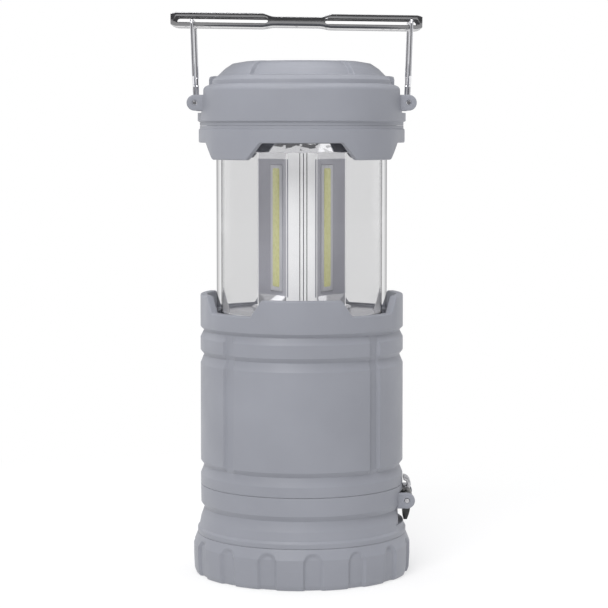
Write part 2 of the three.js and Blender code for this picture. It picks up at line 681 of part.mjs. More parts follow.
// ---- hook ----
function baseHook() {
  const eye = new THREE.Shape();
  eye.absarc(0, 0, 2.7, 0, 2 * Math.PI, false);
  const hole = new THREE.Path();
  hole.absarc(0, 0, 1.15, 0, 2 * Math.PI, true);
  eye.holes.push(hole);
  const barrelPart = across(eye, -10.9, 10.9);
  const blade = outline([[-0.9, -1.6], [1.7, -1.6], [1.4, -5], [0.6, -9.2], [-0.4, -9.2], [-0.7, -5]]);
  const plate = across(blade, -6.5, 6.5);
  const mouth = disc(2.4, -6, 6, SMALL_ROUND).rotate([0, 90, 0]).translate([0, 1.4, -5.2]);
  const entry = box([-6, 6], [1.4, 8], [-5.9, -3.9]);
  const part = mesh('base_hook', cut(join(barrelPart, plate), mouth, entry), DARK_CHROME);
  part.position.set(HOOK_X, 0, HOOK_Z);
  return part;
}

// ---- assembly ----
function assemble() {
  const lantern = new THREE.Group();
  const base = new THREE.Group();
  base.add(barrel(), lowerHousing(), batteryCage(), ...cells(), ...topContacts(), ...baseScrews(),
    stopRing(), ...contactStrips(), positiveRail(), positiveLead(), neckContact(), hookPin(), hookClip());
  const cover = new THREE.Group();
  cover.add(batteryCover(), coverContact(), ...cellSprings(), coverSeal());
  const head = new THREE.Group();
  head.add(lensTube(), lensFoot(), ...footContacts(), ledPost(), ...ledStrips(), topReflector(),
    capSkirt(), capSeal(), capDome(), driverBoard(), ...capScrews());
  const handle = new THREE.Group();
  handle.add(leftLink(), leftLinkCross(), handleBar(), rightLink());
  lantern.add(base, cover, head, handle, baseHook());
  return lantern;
}

export default assemble();
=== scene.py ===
"""Looks of the collapsible camping lantern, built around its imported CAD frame.

Lengths are millimetres until a mesh is made. Every piece takes its place from the frame's boxes.
"""

import json
import math

import bmesh
import bpy
from mathutils import Matrix, Vector


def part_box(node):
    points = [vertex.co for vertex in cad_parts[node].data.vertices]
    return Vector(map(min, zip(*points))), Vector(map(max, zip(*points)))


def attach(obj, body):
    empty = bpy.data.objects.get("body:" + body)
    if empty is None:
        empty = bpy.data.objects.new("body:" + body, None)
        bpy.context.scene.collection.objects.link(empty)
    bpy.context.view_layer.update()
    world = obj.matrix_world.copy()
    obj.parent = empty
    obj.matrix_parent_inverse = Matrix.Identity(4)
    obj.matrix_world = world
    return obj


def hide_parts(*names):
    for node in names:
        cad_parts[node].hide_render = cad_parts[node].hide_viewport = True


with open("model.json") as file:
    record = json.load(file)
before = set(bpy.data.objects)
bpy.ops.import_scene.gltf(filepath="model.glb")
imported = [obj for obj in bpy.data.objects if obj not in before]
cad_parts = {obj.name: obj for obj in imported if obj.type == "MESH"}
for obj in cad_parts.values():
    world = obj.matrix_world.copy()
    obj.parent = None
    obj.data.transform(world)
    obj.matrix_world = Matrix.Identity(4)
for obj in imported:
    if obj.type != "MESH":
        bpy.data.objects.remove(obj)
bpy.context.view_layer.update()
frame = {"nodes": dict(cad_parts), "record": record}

MM = 0.001
TAU = 2 * math.pi


# ---- places read from the frame, in millimetres ----
def low(node):
    return [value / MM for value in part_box(node)[0]]


def high(node):
    return [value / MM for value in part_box(node)[1]]


COVER_TOP = high("battery_cover")[2]
COVER_R = high("battery_cover")[1]
HOUSING_LOW = low("lower_housing")[2]
HOUSING_TOP = high("lower_housing")[2]
HOUSING_R = high("barrel")[0]
CROWN_TOP = high("barrel")[2]
BARREL_INSIDE = low("barrel")[2]
SKIRT_LOW = low("cap_skirt")[2]
SKIRT_TOP = high("cap_skirt")[2]
SKIRT_R = high("cap_skirt")[1]
DOME_INSIDE = low("cap_dome")[2]
DOME_TOP = high("cap_dome")[2]
DOME_R = high("cap_dome")[1]
TUBE_LOW = low("lens_tube")[2]
TUBE_TOP = high("lens_tube")[2]
TUBE_R = high("lens_tube")[0]
FOOT_LOW = low("lens_foot")[2]
FOOT_R = high("lens_foot")[1]
POST_LOW = low("led_post")[2]
POST_TOP = high("led_post")[2]
BAR_LEFT, BAR_RIGHT = low("handle_bar")[0], high("handle_bar")[0]
BAR_LOW, BAR_TOP = low("handle_bar")[2], high("handle_bar")[2]
BAR_HALF_DEPTH = high("handle_bar")[1]
HOOK_PIN_Z = (low("hook_pin")[2] + high("hook_pin")[2]) / 2
HOOK_PIN_X = (low("hook_pin")[0] + high("hook_pin")[0]) / 2

# heights worked out from those
SEAM = HOUSING_TOP + 0.15
CROWN_FLOOR = CROWN_TOP - 6.6
NOTCH_TOP = SKIRT_LOW + 6.7
DOME_LOW = SKIRT_TOP + 0.06
BORE_R = HOUSING_R - 3
PIVOTS = {joint["name"]: joint for joint in frame["record"]["behaviour"]["joints"] if "pos_m" in joint}
LINK_PIVOT = [value / MM for value in PIVOTS["right_link_swing"]["pos_m"]]


# ---- shape maths ----
def ramp(x, start, end, soft):
    """0 before start, 1 after end, straight between them, rounded over soft at both."""

    def hinge(u):
        if u <= -soft:
            return 0.0
        if u >= soft:
            return u
        return (u + soft) ** 2 / (4 * soft)

    return (hinge(x - start) - hinge(x - end)) / (end - start)


def fillet(corners, steps=4):
    """A closed outline of (x, y, radius) corners with its corners rounded."""
    points = []
    count = len(corners)
    for i, (x, y, radius) in enumerate(corners):
        here = Vector((x, y))
        before = Vector(corners[i - 1][:2]) - here
        after = Vector(corners[(i + 1) % count][:2]) - here
        if radius <= 0:
            points.append(tuple(here))
            continue
        corner = before.angle(after)
        reach = min(radius / math.tan(corner / 2), 0.48 * before.length, 0.48 * after.length)
        start = here + before.normalized() * reach
        end = here + after.normalized() * reach
        for k in range(steps + 1):
            t = k / steps
            points.append(tuple(start * (1 - t) ** 2 + here * 2 * t * (1 - t) + end * t**2))
    return points


def fold_angle(angle, count, offset=0.0):
    """Degrees from the nearest of count evenly spaced directions, the first at offset."""
    pitch = 360 / count
    return (angle - offset + pitch / 2) % pitch - pitch / 2


def direction(degrees):
    return math.cos(math.radians(degrees)), math.sin(math.radians(degrees))


def arc(x, y, radius, first, last, step):
    """Points of an arc from the first angle to the last, both in whole degrees."""
    past = last + (1 if step > 0 else -1)
    return [(x + radius * c, y + radius * s) for c, s in map(direction, range(first, past, step))]


def circle(x, y, radius, count=24):
    turns = [TAU * i / count for i in range(count)]
    return [(x + radius * math.cos(t), y + radius * math.sin(t)) for t in turns]


def rectangle(left, right, bottom, top):
    return [(left, bottom), (right, bottom), (right, top), (left, top)]


def on_side(degrees, profile):
    """Places (distance out, distance across) points on the side that faces a direction."""
    c, s = direction(degrees)
    return [(out * c - across * s, out * s + across * c) for out, across in profile]


def subdivided(points, count_between):
    """Adds points to each leg of a profile; count_between gives the number of parts of a leg."""
    dense = [points[0]]
    for r, z in points[1:]:
        last_r, last_z = dense[-1]
        count = count_between((last_r, last_z), (r, z))
        for k in range(1, count + 1):
            dense.append((last_r + (r - last_r) * k / count, last_z + (z - last_z) * k / count))
    return dense


# ---- mesh makers ----
def make_object(name, verts, faces, material, smooth_angle=32):
    """A mesh object from points in millimetres, welded and facing outwards."""
    mesh = bpy.data.meshes.new(name)
    mesh.from_pydata([Vector(v) * MM for v in verts], [], faces)
    bm = bmesh.new()
    bm.from_mesh(mesh)
    bmesh.ops.remove_doubles(bm, verts=bm.verts, dist=1e-7)
    bmesh.ops.recalc_face_normals(bm, faces=bm.faces)
    bm.to_mesh(mesh)
    bm.free()
    finish_shading(mesh, smooth_angle)
    mesh.materials.append(material)
    piece = bpy.data.objects.new(name, mesh)
    bpy.context.scene.collection.objects.link(piece)
    return piece


def finish_shading(mesh, smooth_angle=32):
    """Smooth shading, broken at edges sharper than the angle."""
    mesh.shade_smooth()
    mesh.set_sharp_from_angle(angle=math.radians(smooth_angle))


def loft(name, loops, material, wrap=False, smooth_angle=32):
    """Joins closed loops of equal length; wrap joins the last to the first, else the ends are capped."""
    verts = [point for loop in loops for point in loop]
    size, faces = len(loops[0]), []
    for a in range(len(loops) if wrap else len(loops) - 1):
        b = (a + 1) % len(loops)
        for i in range(size):
            j = (i + 1) % size
            faces.append((a * size + i, a * size + j, b * size + j, b * size + i))
    if not wrap:
        faces.append(tuple(range(size)))
        faces.append(tuple(reversed(range((len(loops) - 1) * size, len(loops) * size))))
    return make_object(name, verts, faces, material, smooth_angle)


def dense_angles(step, centres, reach, fine):
    """Directions round the axis, every step degrees and every fine degrees near the centres."""
    found = set()
    for i in range(round(360 / fine)):
        degrees = round(i * fine, 4)
        near = min(abs((degrees - centre + 180) % 360 - 180) for centre in centres) <= reach
        if near or abs(degrees / step - round(degrees / step)) < 1e-6:
            found.add(degrees)
    return sorted(found)


def revolve(name, profile_at, material, columns=240, smooth_angle=32, angles=None):
    """Turns a closed (radius, height) outline about the axis; profile_at(angle) may vary it."""
    loops = []
    for degrees in angles or [360 * i / columns for i in range(columns)]:
        c, s = direction(degrees)
        loops.append([(r * c, r * s, z) for r, z in profile_at(degrees)])
    return loft(name, loops, material, wrap=True, smooth_angle=smooth_angle)


def prism(name, outline, near, far, axis, material, smooth_angle=32):
    """Extrudes a closed 2D outline along axis 'x' (outline in Y, Z), 'y' (X, Z) or 'z' (X, Y)."""
    spots = {
        "x": lambda u, v, w: (w, u, v),
        "y": lambda u, v, w: (u, w, v),
        "z": lambda u, v, w: (u, v, w),
    }[axis]
    loops = [[spots(u, v, w) for u, v in outline] for w in (near, far)]
    return loft(name, loops, material, smooth_angle=smooth_angle)


def tube(name, points, radius, material, sides=16, steps=10):
    """A round wire through points, each (vector, bend radius), with smooth bends."""
    path = []
    for i, (spot, bend) in enumerate(points):
        if i in (0, len(points) - 1) or bend <= 0:
            path.append(spot)
            continue
        back, ahead = points[i - 1][0] - spot, points[i + 1][0] - spot
        reach = min(bend / math.tan(back.angle(ahead) / 2), 0.48 * back.length, 0.48 * ahead.length)
        start, end = spot + back.normalized() * reach, spot + ahead.normalized() * reach
        for t in (k / steps for k in range(steps + 1)):
            path.append(start * (1 - t) ** 2 + spot * 2 * t * (1 - t) + end * t * t)
    side = None
    loops = []
    for i, spot in enumerate(path):
        ahead = (path[min(i + 1, len(path) - 1)] - path[max(i - 1, 0)]).normalized()
        if side is None:
            side = ahead.orthogonal().normalized()
        side = (side - ahead * side.dot(ahead)).normalized()
        up = ahead.cross(side)
        loops.append([spot + radius * (c * side + s * up) for c, s in circle(0, 0, 1, sides)])
    return loft(name, loops, material, smooth_angle=60)


def turn(piece, degrees):
    """Turns a piece's mesh about the lantern's axis."""
    piece.data.transform(Matrix.Rotation(math.radians(degrees), 4, "Z"))


def boolean(target, tools, operation="DIFFERENCE"):
    """Cuts or joins tools into target for good, and removes them."""
    for tool in tools:
        modifier = target.modifiers.new("join", "BOOLEAN")
        modifier.operation = operation
        modifier.solver = "EXACT"
        modifier.object = tool
    apply_modifiers(target)
    for tool in tools:
        bpy.data.objects.remove(tool)


def apply_modifiers(piece, smooth_angle=32):
    mesh = bpy.data.meshes.new_from_object(piece.evaluated_get(bpy.context.evaluated_depsgraph_get()))
    piece.modifiers.clear()
    piece.data = mesh
    finish_shading(mesh, smooth_angle)


def soften(piece, width, segments=3, angle=35, smooth_angle=32):
    """Rounds a piece's sharp edges."""
    modifier = piece.modifiers.new("edges", "BEVEL")
    modifier.width = width * MM
    modifier.segments = segments
    modifier.limit_method = "ANGLE"
    modifier.angle_limit = math.radians(angle)
    apply_modifiers(piece, smooth_angle)


# ---- materials ----
class Nodes:
    """A short way to build one node material."""

    def __init__(self, name):
        self.material = bpy.data.materials.new(name)
        self.material.use_nodes = True
        self.tree = self.material.node_tree
        self.shader = self.tree.nodes["Principled BSDF"]

    def add(self, kind, values=(), **settings):
        node = self.tree.nodes.new(kind)
        for key, value in settings.items():
            setattr(node, key, value)
        for key, value in dict(values).items():
            node.inputs[key].default_value = value
        return node

    def link(self, source, target):
        self.tree.links.new(source, target)

    def set(self, **values):
        for key, value in values.items():
            self.shader.inputs[key.replace("_", " ")].default_value = value

    def noise(self, scale, detail=3, roughness=0.5):
        place = self.add("ShaderNodeTexCoord")
        node = self.add("ShaderNodeTexNoise", {"Scale": scale, "Detail": detail, "Roughness": roughness})
        self.link(place.outputs["Object"], node.inputs["Vector"])
        return node.outputs["Fac"]

    def spread(self, source, low_value, high_value, start=0.3, end=0.7):
        """Maps start to end of the source onto the low to the high value."""
        limits = {"From Min": start, "From Max": end, "To Min": low_value, "To Max": high_value}
        node = self.add("ShaderNodeMapRange", limits)
        self.link(source, node.inputs["Value"])
        return node.outputs["Result"]

    def blend(self, factor, first, second):
        node = self.add("ShaderNodeMix", data_type="RGBA")
        self.link(factor, node.inputs["Factor"])
        node.inputs["A"].default_value = (*first, 1)
        node.inputs["B"].default_value = (*second, 1)
        return node.outputs["Result"]

    def bump(self, height, distance, strength=1.0):
        node = self.add("ShaderNodeBump", {"Strength": strength, "Distance": distance})
        self.link(height, node.inputs["Height"])
        self.link(node.outputs["Normal"], self.shader.inputs["Normal"])


def tinted(color, factor):
    return tuple(min(1, channel * factor) for channel in color)


def moulded(name, color, roughness=0.5, grain=0.03, sheen=0.0, variation=0.06):
    """Moulded plastic: fine spark-eroded grain, faint cloudiness, rubbed patches with less grip."""
    m = Nodes(name)
    clouds = m.noise(26, 4)
    cloudy = m.blend(m.spread(clouds, 0, 1), tinted(color, 1 - variation), tinted(color, 1 + variation))
    m.link(cloudy, m.shader.inputs["Base Color"])
    rubbed = m.noise(90, 5, 0.65)
    m.link(m.spread(rubbed, roughness - 0.07, roughness + 0.07), m.shader.inputs["Roughness"])
    m.bump(m.noise(3800, 2, 0.6), grain * MM, 0.6)
    m.set(Sheen_Weight=sheen, Sheen_Roughness=0.4)
    return m.material


def metal(name, color, roughness, streak=0.05, ripple=0.0, metallic=1.0, painted_glow=0.0):
    """Plated or bare metal: fine polishing streaks and slightly uneven plating, and an optional painted glow.
    """
    m = Nodes(name)
    m.set(Metallic=metallic)
    place = m.add("ShaderNodeTexCoord")
    stretch = m.add("ShaderNodeMapping", {"Scale": (40, 900, 900)})
    lines = m.add("ShaderNodeTexNoise", {"Scale": 3, "Detail": 4})
    m.link(place.outputs["Object"], stretch.inputs["Vector"])
    m.link(stretch.outputs["Vector"], lines.inputs["Vector"])
    streaks = m.spread(lines.outputs["Fac"], max(0.01, roughness - streak), roughness + streak)
    m.link(streaks, m.shader.inputs["Roughness"])
    cloudy = m.blend(m.spread(m.noise(60), 0, 1), tinted(color, 0.94), tinted(color, 1.04))
    m.link(cloudy, m.shader.inputs["Base Color"])
    if ripple:
        m.bump(m.noise(150, 2), ripple * MM, 1.0)
    # painted light: an emission that makes the metal glow though it is no lamp
    if painted_glow:
        m.set(Emission_Color=(1, 1, 1, 1), Emission_Strength=painted_glow)
    return m.material


def clear_plastic():
    """Clear lens: light goes straight through, edges darken with painted shade and faces mirror a little."""
    m = Nodes("lens_clear")
    tree = m.tree
    edge = m.add("ShaderNodeLayerWeight", {"Blend": 0.28})
    grazing = m.spread(edge.outputs["Facing"], 0, 1, 0.5, 0.86)
    # painted shade: the lens turns darker where its wall is seen edge-on
    tint_and_edge_shade = m.blend(grazing, (0.903, 0.903, 0.905), (0.42, 0.42, 0.43))
    through = m.add("ShaderNodeBsdfTransparent")
    m.link(tint_and_edge_shade, through.inputs["Color"])
    gloss = m.add("ShaderNodeBsdfGlossy", {"Roughness": 0.03, "Color": (1, 1, 1, 1)})
    facing = m.add("ShaderNodeLayerWeight", {"Blend": 0.5})
    power = m.add("ShaderNodeMath", {1: 5.0}, operation="POWER")
    fresnel = m.add("ShaderNodeMath", {1: 0.12, 2: 0.01}, operation="MULTIPLY_ADD")
    m.link(facing.outputs["Facing"], power.inputs[0])
    m.link(power.outputs["Value"], fresnel.inputs[0])
    wave = m.add("ShaderNodeBump", {"Strength": 0.25, "Distance": 0.00003})
    m.link(m.noise(35, 2), wave.inputs["Height"])
    m.link(wave.outputs["Normal"], gloss.inputs["Normal"])
    mix = m.add("ShaderNodeMixShader")
    m.link(fresnel.outputs["Value"], mix.inputs[0])
    m.link(through.outputs["BSDF"], mix.inputs[1])
    m.link(gloss.outputs["BSDF"], mix.inputs[2])
    tree.nodes.remove(m.shader)
    m.link(mix.outputs["Shader"], tree.nodes["Material Output"].inputs["Surface"])
    return m.material


def phosphor():
    """Yellow silicone over rows of tiny LED chips, with a faint painted glow."""
    m = Nodes("led_phosphor_painted_glow")
    place = m.add("ShaderNodeTexCoord")
    chips = m.add("ShaderNodeTexVoronoi", {"Scale": 620.0}, feature="F1")
    m.link(place.outputs["Object"], chips.inputs["Vector"])
    dots = m.spread(chips.outputs["Distance"], 0, 1, 0.1, 0.7)
    m.link(m.blend(dots, (0.60, 0.60, 0.27), (0.68, 0.68, 0.34)), m.shader.inputs["Base Color"])
    # painted light: a weak emission makes the phosphor's yellow glow a little brighter
    m.set(Roughness=0.42, Emission_Color=(0.80, 0.79, 0.40, 1), Emission_Strength=0.16)
    m.bump(chips.outputs["Distance"], 0.05 * MM, 0.5)
    return m.material


HOUSING = moulded("housing_grey", (0.268, 0.277, 0.312), 0.52, grain=0.035, sheen=0.08)
BLACK = moulded("black_plastic", (0.02, 0.02, 0.022), 0.42)
RUBBER = moulded("seal_rubber", (0.018, 0.018, 0.02), 0.75, grain=0.05)
MIRROR = metal("metallised_mirror", (0.90, 0.90, 0.92), 0.10, 0.04, ripple=0.01, metallic=0.6)
CRUMPLED = metal("wavy_mirror", (0.88, 0.88, 0.90), 0.05, 0.02, ripple=0.35)
SATIN = metal("metallised_bay", (0.47, 0.47, 0.52), 0.34, 0.05, metallic=0.2)
# rib flats: white polish with a painted glow that stands in for the bright reflection on them
GLOWING_RIB_FACE = metal("polished_rib_painted_glow", (0.96, 0.96, 0.97), 0.16, 0.02, metallic=0.1, painted_glow=0.22)
# painted shade: a dark tone on the faces of the fine grooves in the rib flats
RIB_GROOVE_SHADE = metal("rib_groove_painted_shade", (0.16, 0.16, 0.17), 0.35, 0.05, metallic=0.4)
CHROME = metal("bright_chrome", (0.80, 0.80, 0.82), 0.08, 0.04, ripple=0.02)
DARK_CHROME = metal("pressed_chrome", (0.24, 0.24, 0.245), 0.14, 0.06, ripple=0.05)
HOOK_STEEL = metal("blackened_steel", (0.055, 0.055, 0.055), 0.32, 0.08, metallic=0.85)
STEEL = metal("zinc_steel", (0.55, 0.55, 0.57), 0.32, 0.10)
NICKEL = metal("nickel_plate", (0.62, 0.59, 0.52), 0.28, 0.10)
BRASS = metal("brass_strip", (0.66, 0.47, 0.20), 0.30, 0.10)
BOARD = moulded("solder_mask", (0.72, 0.72, 0.76), 0.35, grain=0.01, variation=0.03)
CIRCUIT = moulded("circuit_green", (0.02, 0.12, 0.05), 0.35, grain=0.02)
CELL_SKIN = moulded("cell_sleeve", (0.08, 0.085, 0.10), 0.28, grain=0.01)
WIRE_SKIN = moulded("wire_insulation", (0.40, 0.02, 0.02), 0.40, grain=0.01)
CLEAR = clear_plastic()
GLOWING_PHOSPHOR = phosphor()


def standing_for(piece, body, slot, *nodes):
    """Puts a new piece on its body in place of the CAD nodes that it stands for."""
    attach(piece, body)
    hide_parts(*nodes)


# ---- base ----
QUARTERS = (0, 90, 180, 270)
GROOVE_DEPTH = 1.5
BARREL_GROOVES = ((40.7, 46.4), (86.3, 91.8), (97.0, 101.4))
HOUSING_GROOVE = (22.8, 29.1)
LAND_EDGE = (22.6, 29.2)
FLUTE_EDGE, FLUTE_DEPTH = (2.7, 4.0), 1.25
EAR_R = 3.2


def groove_corners(radius, bottom, top):
    """A gentle slope in from below and a sharp return under the upper lip."""
    deepest = bottom + 0.66 * (top - bottom)
    return [(radius, bottom, 0.8), (radius - GROOVE_DEPTH, deepest, 0.5), (radius, top, 0.16)]


def crown_height(degrees):
    """Top edge of the crown: four lands with sloping sides and gaps between them."""
    off_land = abs(fold_angle(degrees, 4))
    return CROWN_TOP - (CROWN_TOP - CROWN_FLOOR) * ramp(off_land, *LAND_EDGE, 0.8)


def flute_depth(degrees):
    """Upright grooves between the barrel's four panels."""
    off_flute = abs(fold_angle(degrees, 4, 45))
    return FLUTE_DEPTH * (1 - ramp(off_flute, *FLUTE_EDGE, 0.15))


def barrel_profile(degrees):
    top = crown_height(degrees)
    radius = HOUSING_R
    profile = fillet([
        (radius, SEAM + 0.05, 0.22),
        *[corner for ends in BARREL_GROOVES for corner in groove_corners(radius, *ends)],
        (radius, top, 0.7), (BORE_R, top, 0.6),
        (BORE_R, SEAM + 1.2, 0), (BORE_R - 1.8, SEAM + 0.2, 0), (BORE_R - 1.8, BARREL_INSIDE, 0),
        (BORE_R - 0.3, BARREL_INSIDE, 0), (BORE_R - 0.3, SEAM + 0.05, 0),
    ])
    depth = flute_depth(degrees)
    fluted = []
    for r, z in profile:
        if r > radius - 2 and depth > 0:
            share = ramp(z, 45.2, 46.4, 0.15) * (1 - ramp(z, 97.2, 98.4, 0.15))
            r -= max(0.0, depth - (radius - r) * 0.5) * share
        fluted.append((r, z))
    return fluted


def ear_tool(name, x, z, root, radius, near, far):
    """A flat ear with a round end, its root inside the shell."""
    outline = [(root, z - radius), *arc(x, z, radius, -90, 90, 12), (root, z + radius)]
    return prism(name, outline, near, far, "y", HOUSING)


def ears(piece, x, z, root, inner, outer, hole, both_sides):
    """Adds a pair of ears with cross holes to a shell, or a pair on each side."""
    plates = []
    for around in (0, 180) if both_sides else (0,):
        for front in (-1, 1):
            near, far = sorted((front * inner, front * outer))
            plate = ear_tool("ear", x, z, root, EAR_R, near, far)
            drill = prism("drill", circle(x, z, hole, 28), near - 1, far + 1, "y", HOUSING)
            boolean(plate, [drill])
            soften(plate, 0.35, 3, 40)
            turn(plate, around)
            plates.append(plate)
    boolean(piece, plates, "UNION")


def build_barrel():
    edges = [quarter + side for quarter in QUARTERS for side in (-26, 26, 45)]
    piece = revolve("barrel_shell", barrel_profile, HOUSING, angles=dense_angles(1.5, edges, 5, 0.25))
    standing_for(piece, "base", "housing", "barrel")


def build_lower_housing():
    neck_inside, neck, rim = 37.2, 39.9, 42.9
    seam = COVER_TOP + 0.06
    deck_low, deck_high = 27.1, 30.1
    profile = fillet([
        (neck_inside, HOUSING_LOW, 0), (neck, HOUSING_LOW, 0.3), (neck, seam, 0),
        (rim, seam, 0.2), (rim, 18.4, 0.35), (42.2, 19.3, 0.3),
        *groove_corners(HOUSING_R - 0.1, *HOUSING_GROOVE),
        (HOUSING_R, HOUSING_TOP + 0.1, 0.22), (BORE_R, HOUSING_TOP + 0.1, 0), (BORE_R, deck_high, 0),
        (20, deck_high, 0), (20, deck_low, 0), (neck_inside, deck_low, 0),
    ])
    piece = revolve("lower_housing_shell", lambda degrees: profile, HOUSING, columns=300)
    recess = prism("recess", fillet([
        (HOOK_PIN_X - 3.5, HOOK_PIN_Z - 3.6, 0.8), (HOOK_PIN_X + 6, HOOK_PIN_Z - 3.6, 0),
        (HOOK_PIN_X + 6, HOOK_PIN_Z + 3.4, 0), (HOOK_PIN_X - 3.5, HOOK_PIN_Z + 3.4, 0.8),
    ]), -11.2, 11.2, "y", HOUSING)
    side = [(39.3, 12.5), (38.2, 16.6), (46, 16.6)]
    outline = [(x, -y) for x, y in side] + side[::-1]
    pocket = prism("pocket", outline, HOOK_PIN_Z - 9.6, HOOK_PIN_Z - 3.4, "z", HOUSING)
    boolean(piece, [recess, pocket])
    ears(piece, HOOK_PIN_X, HOOK_PIN_Z, 37.8, 11.2, 13.3, 1.05, both_sides=False)
    standing_for(piece, "base", "housing", "lower_housing")


def build_stop_ring():
    lo, hi = low("stop_ring"), high("stop_ring")
    profile = fillet([
        (TUBE_R + 0.3, lo[2], 0.2), (hi[0], lo[2], 0), (hi[0], hi[2], 0.5), (TUBE_R + 1.1, hi[2], 0.3),
        (TUBE_R + 0.3, hi[2] - 0.8, 0.2),
    ])
    piece = revolve("stop_ring_moulded", lambda degrees: profile, HOUSING, columns=180)
    standing_for(piece, "base", "black_plastic", "stop_ring")


# ---- battery cover ----
COVER_FLUTES = 15
FIRST_FLUTE = -84.1


def cover_flute_depth(degrees, z):
    """How deep the flutes cut at a height: straight sides, arched tops, open at the bottom."""
    half, arch_base, arch_rise = 4.1, 10.4, 4.4
    along = abs(fold_angle(degrees, COVER_FLUTES, FIRST_FLUTE)) * math.radians(1) * COVER_R
    if z < arch_base:
        inside = half - along
    else:
        inside = (1 - math.hypot(along / half, (z - arch_base) / arch_rise)) * half
    return 1.1 * ramp(inside, 0.0, 1.1, 0.15)


def cover_wall():
    """The cover's outer wall from the foot up, dense enough to carry the flutes."""
    corners = fillet([
        (0, 0, 0), (43.6, 0, 0.7), (44.3, 1.8, 2.0), (COVER_R, 7.5, 3), (COVER_R, 12.2, 0.4),
        (42.9, COVER_TOP, 0.25), (42.1, COVER_TOP, 0),
    ], 6)
    outer = [point for point in corners if point[0] > 42]
    return subdivided(outer, lambda start, end: max(1, round(abs(end[1] - start[1]) / 0.35)))


def build_battery_cover():
    wall = cover_wall()
    inside = [(42.1, COVER_TOP), (42.1, 14.2), (40.2, 14.2), (40.2, 3.0), (0.01, 3.0), (0.01, 0.0)]

    def profile(degrees):
        cut = [(r - cover_flute_depth(degrees, z) * ramp(r, 41.5, 42.8, 0.3), z) for r, z in wall]
        return cut + inside

    middles = [FIRST_FLUTE + i * 360 / COVER_FLUTES for i in range(COVER_FLUTES)]
    sides = [middle + side for middle in middles for side in (-5.2, 5.2)]
    piece = revolve("battery_cover_fluted", profile, HOUSING, angles=dense_angles(1.0, sides, 1.3, 0.2))
    standing_for(piece, "cover", "housing", "battery_cover")


# ---- lens and light ----
def build_lens_tube():
    inside = TUBE_R - 1.9
    profile = fillet([
        (inside, TUBE_LOW, 0.3), (TUBE_R, TUBE_LOW, 0.3), (TUBE_R, TUBE_TOP, 0.3), (inside, TUBE_TOP, 0.3),
    ])
    piece = revolve("lens_tube_clear", lambda degrees: profile, CLEAR, columns=240)
    standing_for(piece, "head", "lens", "lens_tube")


# the post is a triangle with cut corners: ribs on the corners, a sunken bay in each side
RIBS = [-90, 30, 150]
BAYS = [-30, 90, 210]
BAY_RIM, BAY_FLOOR = 13.9, 11.85
BAY_LOW, BAY_TOP, BAY_SLOPE = 114.2, 169.8, 3.0
FLOOR_HALF = 5.2
RIB_FLAT = 17.9
CAVITY_SIDE, CAVITY_CORNER = 11.5, 16.8
BOARD_BACK, BOARD_FACE, BOARD_HALF = 11.55, 12.0, 4.7
STRIP_HALF = 2.6
RIB_LINES = (-0.75, 0.75, 2.1)
LINE_DEPTH = 0.7


def post_section(sink):
    """The post's outline, its bays sunk from 0, flush, to 1, full depth. Fine lines run up each rib."""
    half = (2 * BAY_RIM - RIB_FLAT) * math.tan(math.radians(30))
    rim_half = (RIB_FLAT - BAY_RIM * math.cos(math.radians(60))) / math.sin(math.radians(60))
    rib_profile = [(RIB_FLAT, -half + 0.3)]
    for line in RIB_LINES:
        rib_profile += [
            (RIB_FLAT, line - 0.16), (RIB_FLAT - LINE_DEPTH, line - 0.1),
            (RIB_FLAT - LINE_DEPTH, line + 0.1), (RIB_FLAT, line + 0.16),
        ]
    rib_profile.append((RIB_FLAT, half - 0.3))
    floor = BAY_RIM - (BAY_RIM - BAY_FLOOR) * sink
    bay_profile = [
        (BAY_RIM, -rim_half + 0.5), (BAY_RIM, -rim_half + 1.1), (floor, -FLOOR_HALF), (floor, FLOOR_HALF),
        (BAY_RIM, rim_half - 1.1), (BAY_RIM, rim_half - 0.5),
    ]
    points = []
    for rib, bay in zip(RIBS, BAYS):
        points += on_side(rib, rib_profile) + on_side(bay, bay_profile)
    return points


def hexagon(side, corner):
    """A triangle with cut corners, its long sides facing the bays."""
    half = (2 * side - corner) * math.tan(math.radians(30))
    return [point for rib in RIBS for point in on_side(rib, [(corner, -half), (corner, half)])]


def shade_post(piece):
    """Satin grey for the sunken bays, white polish with a painted glow for the rib flats and painted shade on
    the faces of their lines.
    """
    for material in (SATIN, GLOWING_RIB_FACE, RIB_GROOVE_SHADE):
        piece.data.materials.append(material)
    satin, polish_and_glow, groove_shade = 1, 2, 3
    for face in piece.data.polygons:
        x, y, z = face.center / MM
        for rib in RIBS:
            c, s = direction(rib)
            out, across = x * c + y * s, y * c - x * s
            if out > RIB_FLAT - 1.5 and abs(across) < 6.5:
                # faces down in a rib's grooves get painted shade, the flats around them the painted glow
                in_shaded_groove = out < RIB_FLAT - 0.05 and any(abs(across - line) < 0.17 for line in RIB_LINES)
                face.material_index = groove_shade if in_shaded_groove else polish_and_glow
        for bay in BAYS:
            c, s = direction(bay)
            out, across = x * c + y * s, y * c - x * s
            sunken = CAVITY_SIDE + 0.1 < out < BAY_RIM - 0.05 and abs(across) < 12.5
            if sunken and BAY_LOW - 0.1 < z < BAY_TOP + 0.1:
                face.material_index = satin


